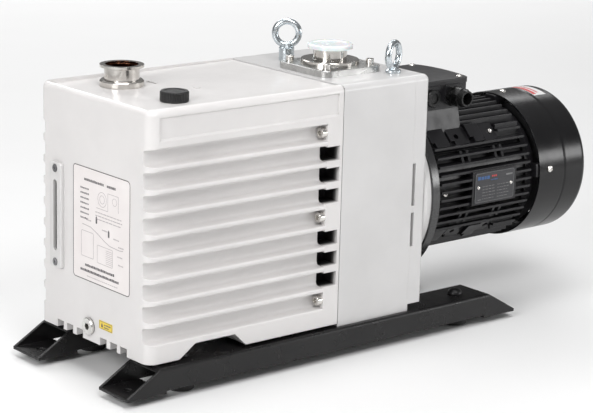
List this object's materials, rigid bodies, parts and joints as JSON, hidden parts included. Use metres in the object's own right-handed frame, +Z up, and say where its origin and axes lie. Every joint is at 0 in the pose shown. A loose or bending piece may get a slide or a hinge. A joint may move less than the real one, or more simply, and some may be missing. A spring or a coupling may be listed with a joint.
{
  "type": "rotary vane vacuum pump",
  "caption": "Oil-sealed rotary vane vacuum pump: ribbed oil casing, centre housing with small-flange ports, flange-mounted finned motor, skid rails on rubber feet.",
  "frame": {"origin": "on the floor, under the middle of the bounding box", "axes": "+X along the shaft from the oil casing to the motor, +Y to the exhaust-port side, +Z up"},
  "size_m": [0.8, 0.25, 0.4086],
  "materials": {
    "casing_paint": "gloss light grey-white enamel on cast aluminium",
    "gasket": "black sheet",
    "nickel_screw": "bright nickel plate",
    "bezel_paint": "satin light grey",
    "sight_glass": "clear",
    "label_foil": "printed foil",
    "drain_steel": "nickel-plated, turned",
    "seal_ring": "black",
    "stainless": "turned and polished stainless",
    "black_plastic": "moulded",
    "filter_medium": "pressed glass-fibre",
    "brushed_plate": "milled",
    "dust_cap_plastic": "translucent white polyethylene",
    "zinc_steel": "blue zinc plate",
    "black_bolt": "black oxide",
    "rail_paint": "black powder coat",
    "rubber": "moulded",
    "grey_iron": "machined",
    "machined_steel": "ground",
    "vane_composite": "fibre-reinforced resin",
    "spring_steel": "rolled",
    "hub_metal": "turned",
    "spider_elastomer": "polyurethane",
    "motor_paint": "semi-gloss black",
    "laminations": "stacked steel",
    "copper": "varnished copper wire",
    "fan_plastic": "moulded",
    "cowl_paint": "satin black",
    "terminal_board": "phenolic",
    "nameplate_foil": "dark anodised"
  },
  "bodies": {
    "pump_body": {"bell_housing": "casing_paint", "blanking_plug": "black_plastic", "cable_gland": "black_plastic", "casing_gasket": "gasket", "casing_screws": "nickel_screw", "centre_housing": "casing_paint", "demister": "filter_medium", "exhaust_port": "stainless", "eye_bolt_front": "zinc_steel", "eye_bolt_rear": "zinc_steel", "fan_cowl": "cowl_paint", "foot_bolts": "black_bolt", "front_end_plate": "grey_iron", "front_labels": "label_foil", "housing_bolts": "black_bolt", "hv_stator": "grey_iron", "inlet_clamp_plate": "brushed_plate", "inlet_plate_screws": "nickel_screw", "inlet_port": "stainless", "lv_stator": "grey_iron", "middle_plate": "grey_iron", "motor_bearings": "machined_steel", "motor_cover_screws": "nickel_screw", "motor_flange": "motor_paint", "motor_frame": "motor_paint", "motor_nameplate": "nameplate_foil", "motor_rear_shield": "motor_paint", "oil_casing": "casing_paint", "rail_far": "rail_paint", "rail_near": "rail_paint", "rear_end_plate": "grey_iron", "rubber_feet": "rubber", "shaft_seal": "gasket", "sight_glass_bezel": "bezel_paint", "sight_glass_screws": "nickel_screw", "sight_glass_window": "sight_glass", "stator_core": "laminations", "stator_windings": "copper", "terminal_block": "terminal_board", "terminal_box": "motor_paint", "terminal_box_lid": "motor_paint", "valve_guard": "spring_steel"},
    "drain_seal": {"drain_plug_seal": "seal_ring"},
    "drain_plug": {"drain_plug": "drain_steel"},
    "filler_seal": {"oil_filler_seal": "seal_ring"},
    "filler_cap": {"oil_filler_cap": "black_plastic"},
    "dust_cap": {"inlet_dust_cap": "dust_cap_plastic"},
    "motor_rotor": {"motor_shaft": "machined_steel", "rotor_core": "laminations", "cooling_fan": "fan_plastic", "coupling_hub_motor": "hub_metal"},
    "pump_rotor": {"hv_rotor": "machined_steel", "lv_rotor": "machined_steel", "coupling_hub_pump": "hub_metal", "coupling_spider": "spider_elastomer"},
    "hv_vane_a": {"hv_vane_a": "vane_composite"},
    "hv_vane_b": {"hv_vane_b": "vane_composite"},
    "lv_vane_a": {"lv_vane_a": "vane_composite"},
    "lv_vane_b": {"lv_vane_b": "vane_composite"},
    "exhaust_leaf": {"exhaust_valve": "spring_steel"}
  },
  "joints": [
    {"name": "motor_spin", "type": "hinge", "parent": "pump_body", "child": "motor_rotor", "pos_m": [0.2, 0, 0.184], "axis": [1, 0, 0], "continuous": true},
    {"name": "pump_spin", "type": "hinge", "parent": "pump_body", "child": "pump_rotor", "pos_m": [-0.13, 0, 0.184], "axis": [1, 0, 0], "continuous": true},
    {"name": "hv_vane_a_slide", "type": "slide", "parent": "pump_rotor", "child": "hv_vane_a", "axis": [0, 1, 0], "range_m": [0, 0.005]},
    {"name": "hv_vane_b_slide", "type": "slide", "parent": "pump_rotor", "child": "hv_vane_b", "axis": [0, -1, 0], "range_m": [0, 0.005]},
    {"name": "lv_vane_a_slide", "type": "slide", "parent": "pump_rotor", "child": "lv_vane_a", "axis": [0, 1, 0], "range_m": [0, 0.005]},
    {"name": "lv_vane_b_slide", "type": "slide", "parent": "pump_rotor", "child": "lv_vane_b", "axis": [0, -1, 0], "range_m": [0, 0.005]},
    {"name": "exhaust_leaf_lift", "type": "hinge", "parent": "pump_body", "child": "exhaust_leaf", "pos_m": [-0.2125, 0.048, 0.2594], "axis": [-1, 0, 0], "range_deg": [0, 6], "stiffness_Nm_per_rad": 0.05},
    {"name": "filler_cap_turn", "type": "hinge", "parent": "filler_seal", "child": "filler_cap", "pos_m": [-0.291, -0.063, 0.355], "axis": [0, 0, 1], "range_deg": [0, 1085]},
    {"name": "filler_seal_rise", "type": "slide", "parent": "pump_body", "child": "filler_seal", "axis": [0, 0, 1], "range_m": [0, 0.009]},
    {"name": "drain_plug_turn", "type": "hinge", "parent": "drain_seal", "child": "drain_plug", "pos_m": [-0.365, 0.0055, 0.064], "axis": [-1, 0, 0], "range_deg": [0, 1808]},
    {"name": "drain_seal_travel", "type": "slide", "parent": "pump_body", "child": "drain_seal", "axis": [-1, 0, 0], "range_m": [0, 0.0075]},
    {"name": "dust_cap_lift", "type": "slide", "parent": "pump_body", "child": "dust_cap", "axis": [0, 0, 1], "range_m": [0, 0.06]}
  ],
  "couplings": [
    {"joint": "pump_spin", "follows": "motor_spin", "ratio": 1},
    {"joint": "filler_cap_turn", "follows": "filler_seal_rise", "rad_per_m": 2094.4},
    {"joint": "drain_plug_turn", "follows": "drain_seal_travel", "rad_per_m": 4188.8}
  ]
}
